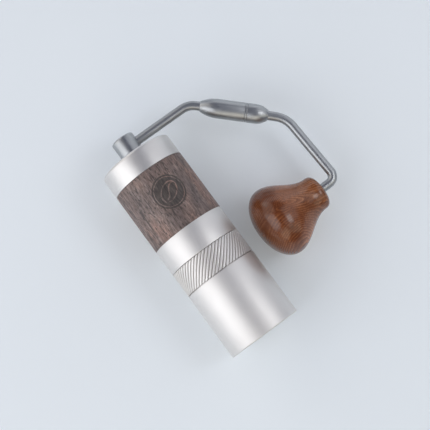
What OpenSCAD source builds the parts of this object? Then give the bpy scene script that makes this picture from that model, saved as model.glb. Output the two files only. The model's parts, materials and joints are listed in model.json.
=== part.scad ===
// Hand crank coffee grinder: a slim aluminium body with a wood grip sleeve, a catch cup
// with a knurled ring, conical burrs on a ball-bearing shaft, and a crank whose outer half
// folds down on a slanted swivel. Millimetres. The origin is the centre of the base, +Z runs
// up the body, and the folded crank lies in the XZ plane on the +X side.

/* [Body] */
// Diameter of the catch cup, the body and the lid
body_d = 46; // [45.6:0.2:47]
// Height of the seam between the catch cup and the body
seam_z = 59; // [58.6:0.1:59.4]
// Height of the knurled ring at the top of the catch cup
knurl_h = 15.6; // [13:0.2:18]
// Height of the plain silver band above the seam
plain_band_h = 16.3; // [16:0.1:16.6]
// Height of the wood sleeve
wood_h = 39.55; // [39.2:0.05:40]
// Height of the lid
lid_h = 13.95; // [13.8:0.05:14.2]
// Radius of the rounded top edge of the lid
lid_round = 1.8; // [0.6:0.1:2]

/* [Drive] */
// Diameter of the main shaft
shaft_d = 8; // [7.96:0.01:8]
// Outer diameter of each ball bearing
bearing_d = 16; // [15.9:0.05:16]
// Width of each ball bearing
bearing_w = 5; // [4.8:0.1:5]
// Width across the flats of the hex drive at the shaft's top
hex_flats = 6; // [5.6:0.1:6.2]

/* [Crank] */
// Diameter of the crank rod
rod_d = 5.5; // [5:0.1:5.6]
// Diameter of the crank hub
hub_d = 14.4; // [13.6:0.1:14.4]
// Height of the crank hub above the lid
hub_h = 13.55; // [13:0.05:15]
// Height of the rod's centre above the lid
arm_h = 7.6; // [7.5:0.1:8.6]
// Distance from the body's axis to the first corner of the rod
elbow_x = 44.2; // [42:0.1:48]
// Angle of the swivel below level
swivel_slope = 43.9; // [43:0.1:46]
// Length of the swivel spindle
swivel_l = 41; // [40.5:0.1:44]
// Largest diameter of the swivel spindle
swivel_d = 11.7; // [11.4:0.1:12.5]
// Length of the outer rod's upright stretch, corner to corner
drop_l = 46.6; // [44:0.1:48]
// Lean of the upright stretch away from the body
drop_lean = 2.8; // [0:0.1:4]

/* [Knob] */
// Largest diameter of the knob
knob_d = 44.2; // [36:0.2:46]
// Length of the knob
knob_l = 46.2; // [46:0.1:48]
// Diameter of the knob's neck
neck_d = 21.6; // [16:0.2:24]
// Slope of the knob's axis below level when the crank is folded
knob_tilt = 1; // [0:0.1:2]

/* [Hidden] */
$fn = 72;
ov = 1;                // how far a cutter runs past the face it cuts
fit = 0.02;            // radial clearance of a push fit
run = 0.05;            // radial clearance of a running fit
weld = 0.4;            // how far a straight stretch of rod runs into a bend

// Heights of the body, from the base up
body_r = body_d / 2;
wood_z = seam_z + plain_band_h;
lid_z = wood_z + wood_h;
top_z = lid_z + lid_h;
part_gap = 0.15;       // gap at each seam that comes apart
cup_floor = 3;
cup_r = body_r - 2.2;
thread_r = body_r - 1.5;
thread_z = seam_z - 10.5;
spigot_r = thread_r - 0.15;
neck_r = body_r - 1.7;
neck_z = lid_z + 10.65;
bore_r = body_r - 3.7;
carrier_r = body_r - 3.1;

// Heights of the inside, set from the seams
seat_z = seam_z + 15;
seat_h = 2.5;
seat_r = 14.8;
low_bearing_z = seat_z + seat_h + 7.6;
carrier_z = lid_z - 2.85;
top_bearing_z = carrier_z + 0.05;
arm_w = 5;             // width of a carrier's arm
carrier_hub_r = bearing_d / 2 + 2;
lip_r = 6.9;           // hole in the lip that holds a bearing
screw_circle_r = 17.3;
screw_r = 1;
burr_z = seam_z + 3;
burr_top = burr_z + 17;
dial_z = burr_z - 12;
shaft_r = shaft_d / 2 - fit;
shaft_z = dial_z - 3.5;
hex_z = carrier_z + 7;
hex_top = top_z + 3.7;
stem_r = 3;            // threaded lower end of the shaft
key_z = burr_z + 1.2;  // clear of the adjuster at its highest
key_r = 3.9;           // round part of the keyed stretch
key_w = 6.6;           // width across its two flats

// Crank: hub and the corners of the rod
hub_r = hub_d / 2;
hub_z = top_z - 7.5;
hub_seat_z = top_z + part_gap;
hub_top = top_z + part_gap + hub_h;
hub_stem_r = 5.5;
bushing_r = 7.5;
rod_r = rod_d / 2;
arm_z = top_z + arm_h;
swivel_a = -swivel_slope;
drop_a = drop_lean - 90;
knob_a = knob_tilt - 180;
elbow_r = 12;
shoulder_r = 16;
heel_r = 5;
swivel_lead = 6.9;     // from the first corner to the spindle
swivel_tail = 10.85;   // from the spindle to the second corner
neck_lead = 10.7;      // from the third corner to the knob
function dir(a) = [cos(a), 0, sin(a)];
function setback(r, a0, a1) = r * tan((a0 - a1) / 2);
elbow = [elbow_x, 0, arm_z];
swivel_p = elbow + swivel_lead * dir(swivel_a);
shoulder = swivel_p + (swivel_l + swivel_tail) * dir(swivel_a);
heel = shoulder + drop_l * dir(drop_a);
neck_p = heel + neck_lead * dir(knob_a);

// Swivel, measured along its own axis from the hub end
swivel_r = swivel_d / 2;
swivel_end_r = rod_r + 0.35;
socket_l = 27;
collar_z = socket_l + part_gap;
collar_h = 1.2;
tip_z = collar_z + collar_h + part_gap;
rod_seat = 4.4;        // how far the outer rod reaches into the spindle
swivel_pin_r = 2.5;
pin_head_z = 12.5;
bushing_z = 22.5;

// Knob, measured along its own axis from the neck
knob_r = knob_d / 2;
neck_r2 = neck_d / 2;
belly_l = 14;          // from the wide end to the largest diameter
waist_l = 27;          // from the largest diameter to the neck
neck_round = 5.2;
pivot_r = 2.25;
pivot_l = 34.6;
knob_bore_r = 4.2;
cap_r = 5.6;
cap_z = 39.5;

// Radius of a curve that bulges from r0 to r1 over its unit length
function bulge(r0, r1, u) = r0 + (r1 - r0) * (1 - pow(1 - u, 2));
function oval(u, n) = pow(max(0, 1 - pow(u, n)), 1 / n);
knob_outline = concat(
    [[0, 0]],
    [for (i = [0 : 6]) let (u = cos(i * 15))
        [neck_r2 * oval(min(1, u * 0.99), 2.8), neck_round * (1 - u)]],
    [for (i = [1 : 13]) let (u = i / 13)
        [neck_r2 + (knob_r - neck_r2) * (1 - cos(180 * u)) / 2,
            knob_l - belly_l - waist_l + waist_l * u]],
    [for (i = [1 : 11]) let (u = sin(i * 90 / 11))
        [knob_r * oval(u, 2.08), knob_l - belly_l + belly_l * u]],
    [[0, knob_l]]);

module tube(r_out, r_in, z0, z1) {
    translate([0, 0, z0])
        difference() {
            cylinder(h = z1 - z0, r = r_out);
            translate([0, 0, -ov]) cylinder(h = z1 - z0 + 2 * ov, r = r_in);
        }
}

module rod(r, z0, z1) {
    translate([0, 0, z0]) cylinder(h = z1 - z0, r = r);
}

module hoop(r, wire_r, z) {
    translate([0, 0, z]) rotate_extrude() translate([r, 0]) circle(r = wire_r);
}

// Open retaining ring, split on the +X side
module split_ring(r_out, r_in, z0, z1, split) {
    difference() {
        tube(r_out, r_in, z0, z1);
        translate([0, -split / 2, z0 - ov]) cube([r_out + ov, split, z1 - z0 + 2 * ov]);
    }
}

module coil(r, wire_r, z0, h, turns, sides = 8, steps = 18) {
    n = turns * steps;
    points = [for (i = [0 : n], j = [0 : sides - 1])
        let (a = 360 * i / steps, b = 360 * j / sides, c = r + wire_r * cos(b))
        [c * cos(a), c * sin(a), z0 + wire_r + (h - 2 * wire_r) * i / n + wire_r * sin(b)]];
    wall = [for (i = [0 : n - 1], j = [0 : sides - 1])
        let (a = i * sides + j, b = i * sides + (j + 1) % sides)
        each [[a, b, b + sides], [a, b + sides, a + sides]]];
    polyhedron(points, concat(wall, [[for (j = [sides - 1 : -1 : 0]) j],
        [for (j = [0 : sides - 1]) n * sides + j]]));
}

module three(a0 = 0) {
    for (i = [0 : 2]) rotate([0, 0, a0 + i * 120]) children();
}

// A straight stretch of rod from p in direction a, and a bend from direction a0 to a1
module leg(p, a, l, r = rod_r) {
    translate(p) rotate([0, 90 - a, 0]) cylinder(h = l, r = r);
}

module bend(p, a0, a1, r) {
    translate(p + r * dir(a0 - 90)) rotate([90, 0, 0]) rotate([0, 0, a1 + 90])
        rotate_extrude(angle = a0 - a1) translate([r, 0]) circle(r = rod_r + fit);
}

module at_swivel() {
    translate(swivel_p) rotate([0, 90 - swivel_a, 0]) children();
}

module at_knob() {
    translate(neck_p) rotate([0, 90 - knob_a, 0]) children();
}

// Body and what is fixed in it

module body_shell() {
    groove_z = seam_z - 2;
    color("silver") difference() {
        union() {
            rod(spigot_r, thread_z + 0.5, seam_z + ov);
            rod(body_r, seam_z, wood_z);
            rod(neck_r, wood_z - ov, neck_z);
        }
        rod(bore_r, 0, carrier_z + ov);
        rod(carrier_r, carrier_z, neck_z + ov);
        rod(carrier_r + 0.6, carrier_z + 5, carrier_z + 6);
        tube(spigot_r + ov, spigot_r - 0.8, groove_z - 0.75, groove_z + 0.75);
        tube(neck_r + ov, neck_r - 0.7, lid_z + 5.2, lid_z + 6.6);
    }
}

module wood_grip_band() {
    color("dimgray") tube(body_r, neck_r + run, wood_z + run, lid_z);
}

module cup_o_ring() {
    color("black") hoop(spigot_r - 0.33, 0.45, seam_z - 2);
}

module lid_o_ring() {
    color("black") hoop(neck_r - 0.275, 0.4, lid_z + 5.9);
}

module upper_carrier() {
    color("gray") difference() {
        union() {
            tube(carrier_r - fit, carrier_r - 2.7, carrier_z, carrier_z + 5);
            rod(carrier_hub_r, carrier_z, carrier_z + 6);
            three() translate([carrier_hub_r - ov, -arm_w / 2, carrier_z + 0.5])
                cube([carrier_r - carrier_hub_r - 0.5, arm_w, 4]);
        }
        rod(bearing_d / 2 + fit, carrier_z - ov, carrier_z + bearing_w + 0.1);
        rod(lip_r, carrier_z, carrier_z + 6 + ov);
    }
}

module carrier_circlip() {
    color("dimgray") split_ring(carrier_r + 0.5, carrier_r - 1.5, carrier_z + 5.08,
        carrier_z + 5.92, 6);
}

module lower_carrier() {
    base = seat_z + seat_h;
    top = low_bearing_z + bearing_w;
    color("gray") difference() {
        union() {
            tube(bore_r - run, seat_r, base, base + 2.5);
            three() intersection() {
                tube(bore_r - 0.4, bore_r - 3.8, base + 1, top - 1);
                translate([0, -3.5, base]) cube([bore_r, 7, top]);
            }
            three() translate([carrier_hub_r - ov, -arm_w / 2, top - 5.6])
                cube([bore_r - 2.6 - carrier_hub_r, arm_w, 4.2]);
            rod(carrier_hub_r, low_bearing_z - 1, top);
        }
        rod(bearing_d / 2 + fit, low_bearing_z, top + ov);
        rod(lip_r, base, top);
        three(60) translate([screw_circle_r, 0, 0]) rod(screw_r + 0.1, base - ov, base + 3);
    }
}

module burr_seat() {
    color("gray") difference() {
        tube(bore_r - fit, seat_r, seat_z, seat_z + seat_h);
        three(60) translate([screw_circle_r, 0, 0]) rod(screw_r + 0.1, seat_z - ov,
            seat_z + seat_h + ov);
    }
}

module burr_screws() {
    head_z = seat_z + seat_h + 2.5;
    color("darkgray") three(60) translate([screw_circle_r, 0, 0]) difference() {
        union() {
            rod(screw_r, head_z - 11, head_z);
            rod(1.85, head_z, head_z + 1.5);
        }
        translate([0, 0, head_z + 0.7]) cylinder(h = 2, r = 0.85, $fn = 6);
    }
}

module outer_burr() {
    color("slategray") difference() {
        rod(bore_r - run, burr_z - 0.5, seat_z);
        rotate_extrude() polygon([[0, burr_z - 1.5], [17.3, burr_z - 1.5], [16.5, burr_z + 1],
            [15.45, burr_z + 4], [14.6, seat_z], [14.6, seat_z + ov], [0, seat_z + ov]]);
        three(60) translate([screw_circle_r, 0, 0]) rod(screw_r + fit, burr_z + 3.5,
            seat_z + ov);
    }
}

// Ball bearings, each from its lower face z0

module outer_race(z0) {
    color("lightgray") difference() {
        tube(bearing_d / 2, 6.9, z0, z0 + bearing_w);
        hoop(6, 1.05, z0 + bearing_w / 2);
    }
}

module inner_race(z0) {
    color("lightgray") difference() {
        tube(5.1, shaft_d / 2, z0, z0 + bearing_w);
        hoop(6, 1.05, z0 + bearing_w / 2);
    }
}

module balls(z0) {
    color("white") for (i = [0 : 7]) rotate([0, 0, i * 45])
        translate([6, 0, z0 + bearing_w / 2]) sphere(r = 0.95);
}

module cage(z0) {
    color("goldenrod") difference() {
        tube(6.3, 5.7, z0 + bearing_w / 2 - 1.2, z0 + bearing_w / 2 + 1.2);
        for (i = [0 : 7]) rotate([0, 0, i * 45])
            translate([6, 0, z0 + bearing_w / 2]) sphere(r = 1);
    }
}

module shields(z0) {
    color("silver") for (z = [z0 + 0.2, z0 + bearing_w - 0.45]) tube(6.87, 5.2, z, z + 0.25);
}

// Shaft, burr and adjuster

module main_shaft() {
    color("lightsteelblue") difference() {
        union() {
            rod(stem_r, shaft_z, key_z);
            intersection() {
                rod(key_r, key_z, burr_top + 1);
                translate([-key_w / 2, -key_r, key_z])
                    cube([key_w, 2 * key_r, burr_top + 1 - key_z]);
            }
            rod(shaft_r, burr_top + 1, hex_z);
            rod(5, low_bearing_z + bearing_w + run, low_bearing_z + bearing_w + 0.9);
            translate([0, 0, hex_z]) cylinder(h = hex_top - hex_z, d = hex_flats / cos(30),
                $fn = 6);
        }
        tube(shaft_r + ov, shaft_r - 0.6, carrier_z - 1.1, carrier_z - 0.3);
        tube(stem_r + ov, stem_r - 0.5, shaft_z + 0.8, shaft_z + 1.6);
    }
}

module shaft_clip() {
    color("dimgray") split_ring(5.6, shaft_r - 0.58, carrier_z - 1.05, carrier_z - 0.35, 3.6);
}

module shaft_end_clip() {
    color("dimgray") split_ring(4.8, stem_r - 0.48, shaft_z + 0.85, shaft_z + 1.55, 2.6);
}

module burr_spring() {
    color("silver") coil(4.65, 0.45, burr_top + 0.02, low_bearing_z - burr_top - 0.04, 3);
}

module inner_burr() {
    color("slategray") difference() {
        rotate_extrude() polygon([[0, burr_z], [16, burr_z], [14.7, burr_z + 4],
            [10.4, burr_z + 12], [6.6, burr_top - 0.6], [6, burr_top], [0, burr_top]]);
        intersection() {
            rod(key_r + run, burr_z - ov, burr_top + ov);
            translate([-key_w / 2 - run, -5, burr_z - ov]) cube([key_w + 2 * run, 10, 20]);
        }
        tube(8.1, 5.3, burr_z - ov, burr_z + 0.7);
    }
}

module adjust_dial() {
    color("gainsboro") difference() {
        union() {
            rod(9, dial_z, burr_z - 3.5);
            rod(10, burr_z - 3.8, burr_z - 0.2);
        }
        for (i = [0 : 11]) rotate([0, 0, i * 30]) translate([10, 0, 0])
            rod(1.6, dial_z - ov, burr_z - 4.3);
        rod(stem_r + run, dial_z - ov, burr_z);
        for (x = [-6.7, 6.7]) translate([x, 0, 0]) rod(1.3, burr_z - 5, burr_z);
    }
}

module detent_balls() {
    color("white") for (x = [-6.7, 6.7]) translate([x, 0, burr_z - 0.75]) sphere(r = 1.2);
}

module detent_springs() {
    color("silver") for (x = [-6.7, 6.7]) translate([x, 0, 0])
        coil(0.85, 0.2, burr_z - 4.95, 2.9, 4, 6, 12);
}

// Lid and catch cup

module lid() {
    color("silver") difference() {
        rotate_extrude() polygon(concat([[0, lid_z + part_gap], [body_r, lid_z + part_gap]],
            [for (i = [0 : 6]) [body_r - lid_round * (1 - cos(i * 15)),
                top_z - lid_round * (1 - sin(i * 15))]],
            [[0, top_z]]));
        rod(neck_r + part_gap, lid_z, top_z - 2.2);
        rod(bushing_r, lid_z, top_z + ov);
    }
}

module lid_bushing() {
    color("ivory") difference() {
        union() {
            rod(bushing_r - fit, top_z - 3, top_z - 0.1);
            rod(9, top_z - 4, top_z - 2.25);
        }
        rod(hub_stem_r + run, lid_z, top_z + ov);
    }
}

module catch_cup() {
    edge = 0.8;
    top = seam_z - part_gap;
    color("silver") difference() {
        rotate_extrude() polygon(concat([[0, 0]],
            [for (i = [0 : 4]) [body_r - edge * (1 - sin(i * 22.5)),
                edge * (1 - cos(i * 22.5))]],
            [[body_r, top], [0, top]]));
        rod(cup_r, cup_floor, seam_z);
        rod(thread_r, thread_z, seam_z);
        tube(body_r + ov, body_r - 0.35, seam_z - knurl_h - 0.3, seam_z - knurl_h + 0.3);
    }
}

// Crank

module crank_hub() {
    edge = 1;
    color("darkgray") difference() {
        union() {
            rod(hub_stem_r, hub_z, hub_seat_z + ov);
            rotate_extrude() polygon(concat([[0, hub_seat_z], [hub_r, hub_seat_z]],
                [for (i = [0 : 4]) [hub_r - edge * (1 - cos(i * 22.5)),
                    hub_top - edge * (1 - sin(i * 22.5))]],
                [[0, hub_top]]));
        }
        translate([0, 0, hub_z - ov]) cylinder(h = hex_top - hub_z + 0.5 + ov,
            d = (hex_flats + 0.12) / cos(30), $fn = 6);
        tube(hub_stem_r + ov, hub_stem_r - 0.6, top_z - 5, top_z - 4.2);
        leg([-5, 0, arm_z], 0, hub_r + 5 + ov, rod_r + fit);
    }
}

module hub_clip() {
    color("dimgray") split_ring(7, hub_stem_r - 0.58, top_z - 4.95, top_z - 4.25, 4.6);
}

module inner_rod() {
    s = setback(elbow_r, 0, swivel_a);
    color("darkgray") {
        leg([-4.9, 0, arm_z], 0, elbow_x - s + 4.9 + weld);
        bend([elbow_x - s, 0, arm_z], 0, swivel_a, elbow_r);
        leg(elbow + (s - weld) * dir(swivel_a), swivel_a, swivel_lead - s + 8 + weld);
    }
}

module swivel_socket() {
    taper = 10.8;
    color("darkgray") at_swivel() difference() {
        rotate_extrude() polygon(concat([[0, 0]],
            [for (i = [0 : 8]) [bulge(swivel_end_r, swivel_r, i / 8), taper * i / 8]],
            [[swivel_r, socket_l], [0, socket_l]]));
        rod(rod_r + fit, -ov, 8.2);
        rod(4.2, 10.5, socket_l);
        rod(4.6 + fit, bushing_z, socket_l + ov);
    }
}

module swivel_bushing() {
    color("peru") at_swivel() tube(4.6, swivel_pin_r + run, bushing_z + run, socket_l - run);
}

module swivel_pin() {
    color("lightgray") at_swivel() {
        rod(3.6, pin_head_z, pin_head_z + 1.5);
        rod(swivel_pin_r, pin_head_z + 1.5, swivel_l - rod_seat - 0.6);
    }
}

module swivel_thrust_washer() {
    color("gray") at_swivel() tube(4.1, swivel_pin_r + run, pin_head_z + 1.55,
        pin_head_z + 2.35);
}

module swivel_spring() {
    z0 = pin_head_z + 2.4;
    color("silver") at_swivel() coil(3.35, 0.45, z0, bushing_z - z0, 4);
}

module swivel_collar() {
    color("gray") at_swivel() tube(swivel_r - 0.1, swivel_pin_r + fit, collar_z,
        collar_z + collar_h);
}

module swivel_end() {
    taper = 7.5;
    color("darkgray") at_swivel() difference() {
        rotate_extrude() polygon(concat([[0, tip_z], [swivel_r, tip_z]],
            [for (i = [8 : -1 : 0]) [bulge(swivel_end_r, swivel_r, i / 8),
                swivel_l - taper * i / 8]],
            [[0, swivel_l]]));
        rod(swivel_pin_r + fit, tip_z - ov, swivel_l - rod_seat - 0.5);
        rod(rod_r + fit, swivel_l - rod_seat - 0.1, swivel_l + ov);
    }
}

module outer_rod() {
    s1 = setback(shoulder_r, swivel_a, drop_a);
    s2 = setback(heel_r, drop_a, knob_a);
    color("darkgray") difference() {
        union() {
            leg(swivel_p + (swivel_l - rod_seat) * dir(swivel_a), swivel_a,
                rod_seat + swivel_tail - s1 + weld);
            bend(shoulder - s1 * dir(swivel_a), swivel_a, drop_a, shoulder_r);
            leg(shoulder + (s1 - weld) * dir(drop_a), drop_a, drop_l - s1 - s2 + 2 * weld);
            bend(heel - s2 * dir(drop_a), drop_a, knob_a, heel_r);
            leg(heel + (s2 - weld) * dir(knob_a), knob_a, neck_lead - s2 - 0.3 + weld);
            at_knob() rod(pivot_r, -2, pivot_l);
        }
        at_knob() rod(1.22, pivot_l - 7, pivot_l + ov);
    }
}

// Knob

module knob() {
    color("saddlebrown") at_knob() difference() {
        rotate_extrude() polygon(knob_outline);
        rod(knob_bore_r + fit, -ov, knob_l - 5);
        rod(cap_r, 34, knob_l + ov);
    }
}

module knob_bushing() {
    color("gold") at_knob() tube(knob_bore_r, pivot_r + run, 0.05, 34);
}

module knob_washer() {
    color("silver") at_knob() tube(5, 1.3, pivot_l + run, pivot_l + 0.85);
}

module knob_screw() {
    color("gray") at_knob() difference() {
        union() {
            rod(1.2, pivot_l - 6.5, pivot_l + 1);
            rod(2.6, pivot_l + 0.9, pivot_l + 2.6);
        }
        translate([0, 0, pivot_l + 1.7]) cylinder(h = 2, r = 1.15, $fn = 6);
    }
}

module knob_cap() {
    color("sienna") at_knob() intersection() {
        rod(cap_r - run, cap_z, knob_l + ov);
        rotate_extrude() polygon(knob_outline);
    }
}

body_shell();
wood_grip_band();
upper_carrier();
carrier_circlip();
lower_carrier();
burr_seat();
outer_burr();
burr_screws();
cup_o_ring();
lid_o_ring();
outer_race(top_bearing_z);  // upper_bearing_outer_race
shields(top_bearing_z);  // upper_bearing_shields
inner_race(top_bearing_z);  // upper_bearing_inner_race
balls(top_bearing_z);  // upper_bearing_balls
cage(top_bearing_z);  // upper_bearing_cage
outer_race(low_bearing_z);  // lower_bearing_outer_race
shields(low_bearing_z);  // lower_bearing_shields
inner_race(low_bearing_z);  // lower_bearing_inner_race
balls(low_bearing_z);  // lower_bearing_balls
cage(low_bearing_z);  // lower_bearing_cage
main_shaft();
shaft_clip();
shaft_end_clip();
burr_spring();
inner_burr();
adjust_dial();
detent_balls();
detent_springs();
lid();
lid_bushing();
catch_cup();
crank_hub();
hub_clip();
inner_rod();
swivel_socket();
swivel_bushing();
swivel_spring();
swivel_thrust_washer();
swivel_pin();
swivel_collar();
swivel_end();
outer_rod();
knob();
knob_bushing();
knob_screw();
knob_washer();
knob_cap();
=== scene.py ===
"""Hand crank coffee grinder: looks, stage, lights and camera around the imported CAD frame."""

import json
import math

import bpy
from mathutils import Matrix, Vector


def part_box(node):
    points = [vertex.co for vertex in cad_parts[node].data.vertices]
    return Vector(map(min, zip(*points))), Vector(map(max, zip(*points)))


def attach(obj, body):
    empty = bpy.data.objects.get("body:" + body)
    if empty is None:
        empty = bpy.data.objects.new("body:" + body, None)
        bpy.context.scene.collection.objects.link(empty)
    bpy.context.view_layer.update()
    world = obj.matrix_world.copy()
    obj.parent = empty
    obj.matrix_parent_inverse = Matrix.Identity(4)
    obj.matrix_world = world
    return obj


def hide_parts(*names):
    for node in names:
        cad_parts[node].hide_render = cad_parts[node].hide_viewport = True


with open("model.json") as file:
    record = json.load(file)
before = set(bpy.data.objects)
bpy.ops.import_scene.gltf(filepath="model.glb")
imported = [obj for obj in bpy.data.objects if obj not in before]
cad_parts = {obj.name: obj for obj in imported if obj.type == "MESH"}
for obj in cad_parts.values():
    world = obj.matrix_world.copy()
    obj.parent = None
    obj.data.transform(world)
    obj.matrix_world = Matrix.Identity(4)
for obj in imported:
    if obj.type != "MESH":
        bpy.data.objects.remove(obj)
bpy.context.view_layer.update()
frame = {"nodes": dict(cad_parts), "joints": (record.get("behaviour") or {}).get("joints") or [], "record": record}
MM = 0.001
TAU = 2 * math.pi


# ---------------------------------------------------------------- frame measures, in mm


def low(node):
    return Vector(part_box(node)[0]) / MM


def high(node):
    return Vector(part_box(node)[1]) / MM


def joint(name):
    return next(j for j in frame["joints"] if j["name"] == name)


GAP = 0.15      # left between pieces that turn or come apart
BODY_R = high("catch_cup").x
CUP_TOP = high("catch_cup").z
CUP_R = BODY_R - 2.2
CUP_FLOOR = 3.0
WOOD_LOW, WOOD_TOP = low("wood_grip_band").z, high("wood_grip_band").z
SEAM = CUP_TOP + GAP
BAND_TOP = WOOD_LOW - 0.05
LID_LOW, LID_TOP = low("lid").z, high("lid").z
NECK_TOP = high("body_shell").z
HUB_TOP = high("crank_hub").z
HUB_R = high("crank_hub").x
HUB_SEAT = LID_TOP + GAP
ROD_R = (high("inner_rod").y - low("inner_rod").y) / 2
ARM_Z = high("inner_rod").z - ROD_R


# ---------------------------------------------------------------- mesh helpers


def rounded(corners, steps=4):
    """A polyline of (r, z, round) corners, each replaced by an arc of that radius."""
    out = []
    for i, (x, y, r) in enumerate(corners):
        if r <= 0 or i in (0, len(corners) - 1):
            out.append((x, y))
            continue
        p = Vector((x, y))
        a = Vector(corners[i - 1][:2]) - p
        b = Vector(corners[i + 1][:2]) - p
        half = a.angle(b) / 2
        cut = min(r / math.tan(half), a.length * 0.49, b.length * 0.49)
        r = cut * math.tan(half)
        a.normalize()
        b.normalize()
        centre = p + (a + b).normalized() * (r / math.sin(half))
        start, end = p + a * cut - centre, p + b * cut - centre
        sweep = start.angle_signed(end)
        for k in range(steps + 1):
            v = start.copy()
            v.rotate(Matrix.Rotation(-sweep * k / steps, 2))
            out.append(tuple(centre + v))
    return out


def rows(a, b, step):
    """Points from a to b with even spacing near step, both ends left out."""
    n = max(1, round((Vector(b) - Vector(a)).length / step))
    return [tuple(Vector(a).lerp(Vector(b), k / n)) for k in range(1, n)]


def mesh_object(name, verts, faces, sharp=35, place=None):
    """A smooth-shaded mesh from points in mm; place is a matrix in mm."""
    place = place or Matrix.Identity(4)
    mesh = bpy.data.meshes.new(name)
    mesh.from_pydata([place @ Vector(v) * MM for v in verts], [], faces)
    mesh.update()
    mesh.validate()
    mesh.shade_smooth()
    mesh.set_sharp_from_angle(angle=math.radians(sharp))
    obj = bpy.data.objects.new(name, mesh)
    bpy.context.scene.collection.objects.link(obj)
    return obj


def lathe(name, outline, turns=160, shape=None, angles=None, sharp=35, place=None):
    """Turns an (r, z) outline about Z. Ends on the axis are closed by a fan, an outline that
    stays off the axis is closed into a ring. shape(r, z, t) returns the moved (r, t)."""
    angles = angles or [TAU * k / turns for k in range(turns)]
    n = len(angles)
    verts, rings = [], []
    for r, z in outline:
        if r < 1e-6:
            rings.append([len(verts)])
            verts.append((0, 0, z))
            continue
        rings.append(range(len(verts), len(verts) + n))
        for t in angles:
            rr, tt = shape(r, z, t) if shape else (r, t)
            verts.append((rr * math.cos(tt), rr * math.sin(tt), z))
    pairs = list(zip(rings, rings[1:]))
    if len(rings[0]) > 1 and len(rings[-1]) > 1:
        pairs.append((rings[-1], rings[0]))
    faces = []
    for a, b in pairs:
        for k in range(n):
            m = (k + 1) % n
            if len(a) == 1 and len(b) == 1:
                continue
            if len(a) == 1:
                faces.append((a[0], b[m], b[k]))
            elif len(b) == 1:
                faces.append((a[k], a[m], b[0]))
            else:
                faces.append((a[k], a[m], b[m], b[k]))
    return mesh_object(name, verts, faces, sharp, place)


def sweep(name, path, sides=40, sharp=35):
    """A round bar along (point, radius) stations in the XZ plane, with flat ends."""
    points = [Vector(p) for p, _ in path]
    verts, faces = [], []
    for i, (p, r) in enumerate(path):
        before = points[i] - points[i - 1] if i else points[1] - points[0]
        after = points[i + 1] - points[i] if i + 1 < len(points) else before
        before = before if before.length > 1e-6 else after
        after = after if after.length > 1e-6 else before
        t = (before.normalized() + after.normalized()).normalized()
        side = Vector((0, 1, 0))
        up = side.cross(t)
        for k in range(sides):
            a = TAU * k / sides
            verts.append(Vector(p) + r * (math.cos(a) * up + math.sin(a) * side))
    for i in range(len(path) - 1):
        for k in range(sides):
            m = (k + 1) % sides
            a, b = i * sides, (i + 1) * sides
            faces.append((a + k, a + m, b + m, b + k))
    faces.append(tuple(reversed(range(sides))))
    faces.append(tuple(range(len(verts) - sides, len(verts))))
    return mesh_object(name, verts, faces, sharp)


def paint(obj, name, value):
    """Stores value(point in mm) at each vertex, for the materials to read."""
    layer = obj.data.attributes.new(name, "FLOAT", "POINT")
    layer.data.foreach_set("value", [value(v.co / MM) for v in obj.data.vertices])


def finish_piece(obj, body, material, replaced):
    obj.data.materials.append(material)
    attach(obj, body)
    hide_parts(replaced)


# ---------------------------------------------------------------- material helpers


class Shader:
    """A Principled material with short calls for the nodes that feed it."""

    def __init__(self, name, **values):
        self.material = bpy.data.materials.new(name)
        self.material.use_nodes = True
        self.tree = self.material.node_tree
        self.bsdf = self.tree.nodes["Principled BSDF"]
        for key, value in values.items():
            self.bsdf.inputs[key.replace("_", " ")].default_value = value
        self.place = self.tree.nodes.new("ShaderNodeTexCoord").outputs["Object"]

    def node(self, kind, links=None, **values):
        n = self.tree.nodes.new("ShaderNode" + kind)
        for key, value in values.items():
            setattr(n, key, value)
        for key, value in (links or {}).items():
            if hasattr(value, "is_linked"):
                self.tree.links.new(value, n.inputs[key])
            else:
                n.inputs[key].default_value = value
        return n

    def stretch(self, scale, rotation=(0, 0, 0), location=(0, 0, 0), vector=None):
        """Object coordinates, or the given vector, scaled, turned and moved."""
        links = {"Vector": self.place if vector is None else vector, "Scale": scale,
                 "Rotation": rotation, "Location": location}
        return self.node("Mapping", links).outputs["Vector"]

    def noise(self, vector, scale, detail=4, rough=0.55):
        links = {"Vector": vector, "Scale": scale, "Detail": detail, "Roughness": rough}
        return self.node("TexNoise", links).outputs["Fac"]

    def math(self, operation, a, b=0.0):
        return self.node("Math", {0: a, 1: b}, operation=operation).outputs[0]

    def remap(self, value, a, b, c, d, smooth=False):
        kind = "SMOOTHSTEP" if smooth else "LINEAR"
        links = {"Value": value, "From Min": a, "From Max": b, "To Min": c, "To Max": d}
        return self.node("MapRange", links, interpolation_type=kind).outputs["Result"]

    def ramp(self, value, *stops):
        n = self.node("ValToRGB", {"Fac": value})
        while len(n.color_ramp.elements) < len(stops):
            n.color_ramp.elements.new(0.5)
        for element, (at, colour) in zip(n.color_ramp.elements, stops):
            element.position = at
            element.color = (*colour, 1)
        return n.outputs["Color"]

    def mix(self, factor, a, b, blend="MIX"):
        n = self.node("Mix", data_type="RGBA", blend_type=blend)
        for key, value in ((0, factor), (6, a), (7, b)):
            if hasattr(value, "is_linked"):
                self.tree.links.new(value, n.inputs[key])
            else:
                n.inputs[key].default_value = value if key == 0 else (*value, 1)
        return n.outputs[2]

    def bump(self, height, distance, strength):
        links = {"Height": height, "Distance": distance, "Strength": strength}
        return self.node("Bump", links).outputs["Normal"]

    def set(self, **sockets):
        for key, value in sockets.items():
            self.tree.links.new(value, self.bsdf.inputs[key.replace("_", " ")])
        return self.material


# ---------------------------------------------------------------- materials


VALLEY_SHADE_BROWN = (0.20, 0.165, 0.145)      # painted shade, brownish, in the knurl's valleys


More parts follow.
